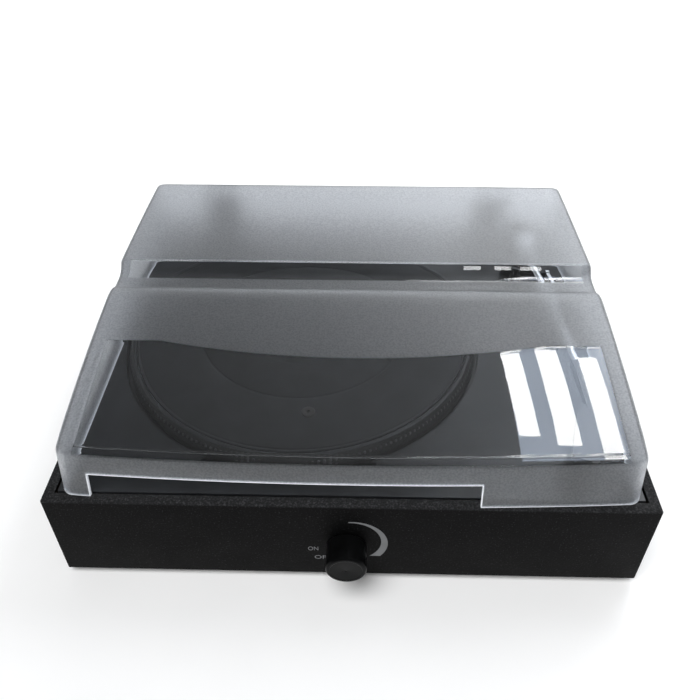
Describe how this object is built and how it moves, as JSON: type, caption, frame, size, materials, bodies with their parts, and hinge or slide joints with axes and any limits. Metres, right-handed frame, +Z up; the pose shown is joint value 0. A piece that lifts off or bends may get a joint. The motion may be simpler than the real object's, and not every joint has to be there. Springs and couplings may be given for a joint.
{
  "type": "record player",
  "caption": "Belt-drive record player: black box plinth with feet, platter and tonearm on a deck, and a hinged clear dust cover with frosted areas.",
  "frame": {"origin": "on the surface the feet stand on, under the middle of the overall length and width", "axes": "+Z up, -Y towards the front with the control knob, +X to the right seen from the front"},
  "size_m": [0.45, 0.402, 0.1558],
  "materials": {
    "case_vinyl": "matte black vinyl wrap",
    "board": "raw fibreboard",
    "steel": "zinc plated",
    "foot_rubber": "matte",
    "mat_rubber": "matte ribbed",
    "platter_metal": "black painted casting",
    "bright_metal": "polished",
    "brass": "turned",
    "deck_plastic": "fine texture",
    "clear_plastic": "clear with frosted areas",
    "knob_plastic": "satin gloss",
    "black_plastic": "satin",
    "paper": "pressed paper",
    "laminate": "lacquered laminate"
  },
  "bodies": {
    "case": {"amplifier_board": "laminate", "arm_rest": "black_plastic", "base_panel": "board", "corner_block_front_left": "board", "corner_block_front_right": "board", "corner_block_rear_left": "board", "corner_block_rear_right": "board", "deck_plate": "deck_plastic", "drive_belt": "foot_rubber", "drive_motor": "steel", "foot_front_left": "foot_rubber", "foot_front_right": "foot_rubber", "foot_rear_left": "foot_rubber", "foot_rear_right": "foot_rubber", "foot_screw_front_left": "steel", "foot_screw_front_right": "steel", "foot_screw_rear_left": "steel", "foot_screw_rear_right": "steel", "front_panel": "case_vinyl", "hinge_bracket_left": "steel", "hinge_bracket_right": "steel", "hinge_pin_left": "steel", "hinge_pin_right": "steel", "left_panel": "case_vinyl", "motor_bracket": "steel", "output_jacks": "black_plastic", "potentiometer_nut": "steel", "power_inlet": "black_plastic", "rear_panel": "case_vinyl", "right_panel": "case_vinyl", "speaker_cone_left": "paper", "speaker_cone_right": "paper", "speaker_frame_left": "steel", "speaker_frame_right": "steel", "spindle_bearing": "brass", "tonearm_base": "black_plastic", "volume_potentiometer": "steel"},
    "platter": {"platter": "platter_metal", "platter_mat": "mat_rubber", "mat_button": "black_plastic", "platter_spindle": "steel"},
    "motor_pulley": {"motor_pulley": "brass"},
    "volume_knob": {"control_knob": "knob_plastic", "control_shaft": "bright_metal"},
    "speed_switch": {"speed_switch": "black_plastic"},
    "arm_yoke": {"tonearm_yoke": "black_plastic", "tonearm_pivot_pin": "steel"},
    "tonearm": {"tonearm_tube": "bright_metal", "headshell": "black_plastic", "cartridge": "black_plastic", "stylus": "black_plastic"},
    "counterweight": {"counterweight": "black_plastic"},
    "cue_lever": {"cue_lever": "bright_metal"},
    "cue_lift": {"cue_lift": "black_plastic"},
    "rest_clip": {"arm_rest_clip": "black_plastic"},
    "cover": {"dust_cover": "clear_plastic", "hinge_arm_left": "steel", "hinge_arm_right": "steel"}
  },
  "joints": [
    {"name": "cover_hinge", "type": "hinge", "parent": "case", "child": "cover", "pos_m": [0, 0.1964, 0.088], "axis": [-1, 0, 0], "range_deg": [0, 65]},
    {"name": "platter_spin", "type": "hinge", "parent": "case", "child": "platter", "pos_m": [-0.0462, 0.0098, 0.092], "axis": [0, 0, -1], "continuous": true},
    {"name": "pulley_spin", "type": "hinge", "parent": "case", "child": "motor_pulley", "pos_m": [-0.11044, 0.10154, 0.092], "axis": [0, 0, -1], "continuous": true},
    {"name": "volume_turn", "type": "hinge", "parent": "case", "child": "volume_knob", "pos_m": [-0.002, -0.179, 0.045], "axis": [0, 1, 0], "range_deg": [0, 300]},
    {"name": "speed_slide", "type": "slide", "parent": "case", "child": "speed_switch", "axis": [0, 1, 0], "range_m": [0, 0.008]},
    {"name": "arm_swing", "type": "hinge", "parent": "case", "child": "arm_yoke", "pos_m": [0.1687, 0.109, 0.112], "axis": [0, 0, -1], "range_deg": [0, 53]},
    {"name": "arm_raise", "type": "hinge", "parent": "arm_yoke", "child": "tonearm", "pos_m": [0.1687, 0.109, 0.123], "axis": [-0.9965, -0.0837, 0], "range_deg": [0, 0.95]},
    {"name": "counterweight_turn", "type": "hinge", "parent": "tonearm", "child": "counterweight", "pos_m": [0.16678, 0.13192, 0.123], "axis": [0.0837, -0.9965, 0], "range_deg": [-180, 180]},
    {"name": "cue_lever_turn", "type": "hinge", "parent": "case", "child": "cue_lever", "pos_m": [0.19179, 0.09689, 0.101], "axis": [-0.9965, -0.0837, 0], "range_deg": [0, 60]},
    {"name": "cue_lift_slide", "type": "slide", "parent": "case", "child": "cue_lift", "axis": [0, 0, 1], "range_m": [0, 0.00049]},
    {"name": "rest_clip_turn", "type": "hinge", "parent": "case", "child": "rest_clip", "pos_m": [0.184, -0.00512, 0.1293], "axis": [0.0837, -0.9965, 0], "range_deg": [0, 88]}
  ],
  "couplings": [
    {"joint": "pulley_spin", "follows": "platter_spin", "ratio": 14.377},
    {"joint": "cue_lift_slide", "follows": "cue_lever_turn", "m_per_rad": 0.00042017},
    {"joint": "arm_raise", "follows": "cue_lever_turn", "ratio": 0.014167}
  ]
}
